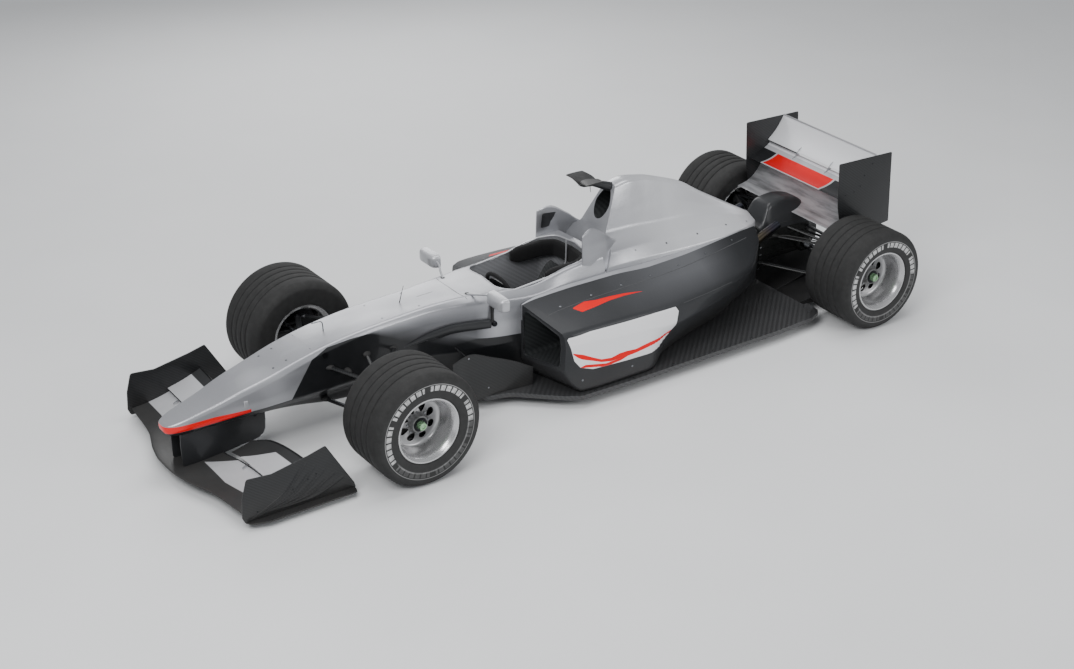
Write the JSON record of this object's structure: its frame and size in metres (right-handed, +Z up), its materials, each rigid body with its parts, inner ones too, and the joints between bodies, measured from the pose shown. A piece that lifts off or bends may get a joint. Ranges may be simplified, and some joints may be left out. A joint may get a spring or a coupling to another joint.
{
  "type": "open wheel racing car",
  "caption": "Single-seat open wheel racing car with a high nose, front and rear wings, wide sidepods, exposed suspension, steered front wheels and an open cockpit.",
  "frame": {"origin": "on the ground, at the middle of the car's length and width, under the flat floor", "axes": "+Z up; the nose points to -Y; the car's left side is +X"},
  "size_m": [1.756, 4.84, 1.1029],
  "materials": {
    "silver_lacquer": "metallic silver lacquer on moulded composite, semi-gloss",
    "charcoal_lacquer": "charcoal metallic lacquer on moulded composite, semi-gloss",
    "bare_carbon": "clear-coated woven carbon composite",
    "magnesium_casting": "dark coated light-alloy casting, matt",
    "engine_block": "plain block that stands for the engine",
    "machined_steel": "turned and ground steel",
    "exhaust_metal": "heat-tinted thin-wall pipe",
    "wheel_silver": "silver painted forged light alloy",
    "tyre_rubber": "dry racing rubber with four circumferential grooves",
    "black_padding": "foam pad in a black synthetic cover",
    "steering_grip": "suede-covered rim on a steel column",
    "red_lens": "moulded red lens"
  },
  "bodies": {
    "chassis": {"monocoque": "silver_lacquer", "nose_cone": "silver_lacquer", "engine_cover": "silver_lacquer", "front_wing": "silver_lacquer", "front_flap_left": "silver_lacquer", "front_flap_right": "silver_lacquer", "rear_wing_main": "silver_lacquer", "rear_wing_flap": "silver_lacquer", "rear_beam_wing_left": "silver_lacquer", "rear_beam_wing_right": "silver_lacquer", "mirror_left": "silver_lacquer", "mirror_right": "silver_lacquer", "sidepod_left": "charcoal_lacquer", "sidepod_right": "charcoal_lacquer", "floor": "charcoal_lacquer", "bargeboard_left": "charcoal_lacquer", "bargeboard_right": "charcoal_lacquer", "camera_pod": "charcoal_lacquer", "front_endplate_left": "charcoal_lacquer", "front_endplate_right": "charcoal_lacquer", "rear_endplate_left": "charcoal_lacquer", "rear_endplate_right": "charcoal_lacquer", "diffuser": "bare_carbon", "seat": "bare_carbon", "front_upper_wishbone_left": "bare_carbon", "front_upper_wishbone_right": "bare_carbon", "front_lower_wishbone_left": "bare_carbon", "front_lower_wishbone_right": "bare_carbon", "rear_upper_wishbone_left": "bare_carbon", "rear_upper_wishbone_right": "bare_carbon", "rear_lower_wishbone_left": "bare_carbon", "rear_lower_wishbone_right": "bare_carbon", "gearbox": "magnesium_casting", "rear_upright_left": "magnesium_casting", "rear_upright_right": "magnesium_casting", "engine": "engine_block", "exhaust_left": "exhaust_metal", "exhaust_right": "exhaust_metal", "headrest": "black_padding", "rain_light": "red_lens"},
    "knuckle_fl": {"front_upright_left": "magnesium_casting"},
    "knuckle_fr": {"front_upright_right": "magnesium_casting"},
    "wheel_fl": {"front_rim_left": "wheel_silver", "front_tyre_left": "tyre_rubber"},
    "wheel_fr": {"front_rim_right": "wheel_silver", "front_tyre_right": "tyre_rubber"},
    "wheel_rl": {"rear_rim_left": "wheel_silver", "rear_tyre_left": "tyre_rubber", "driveshaft_left": "machined_steel"},
    "wheel_rr": {"rear_rim_right": "wheel_silver", "rear_tyre_right": "tyre_rubber", "driveshaft_right": "machined_steel"},
    "rack": {"steering_rack": "machined_steel"},
    "steering": {"steering_wheel": "steering_grip"}
  },
  "joints": [
    {"name": "steer_left", "type": "hinge", "parent": "chassis", "child": "knuckle_fl", "pos_m": [0.575, -1.28, 0.33], "axis": [0, 0, 1], "range_deg": [-14, 14]},
    {"name": "front_wheel_left_spin", "type": "hinge", "parent": "knuckle_fl", "child": "wheel_fl", "pos_m": [0.6855, -1.28, 0.33], "axis": [1, 0, 0], "continuous": true},
    {"name": "rear_wheel_left_spin", "type": "hinge", "parent": "chassis", "child": "wheel_rl", "pos_m": [0.6675, 2, 0.317], "axis": [1, 0, 0], "continuous": true},
    {"name": "steer_right", "type": "hinge", "parent": "chassis", "child": "knuckle_fr", "pos_m": [-0.575, -1.28, 0.33], "axis": [0, 0, 1], "range_deg": [-14, 14]},
    {"name": "front_wheel_right_spin", "type": "hinge", "parent": "knuckle_fr", "child": "wheel_fr", "pos_m": [-0.6855, -1.28, 0.33], "axis": [1, 0, 0], "continuous": true},
    {"name": "rear_wheel_right_spin", "type": "hinge", "parent": "chassis", "child": "wheel_rr", "pos_m": [-0.6675, 2, 0.317], "axis": [1, 0, 0], "continuous": true},
    {"name": "rack_slide", "type": "slide", "parent": "chassis", "child": "rack", "axis": [1, 0, 0], "range_m": [-0.0221, 0.0221]},
    {"name": "steering_wheel_turn", "type": "hinge", "parent": "chassis", "child": "steering", "pos_m": [0, -0.25, 0.535], "axis": [0, 0.9781, 0.2079], "range_deg": [-112.5, 112.5]}
  ],
  "couplings": [
    {"joint": "steer_right", "follows": "steer_left", "ratio": 1},
    {"joint": "rack_slide", "follows": "steer_left", "m_per_rad": 0.09},
    {"joint": "steering_wheel_turn", "follows": "steer_left", "ratio": 8}
  ]
}
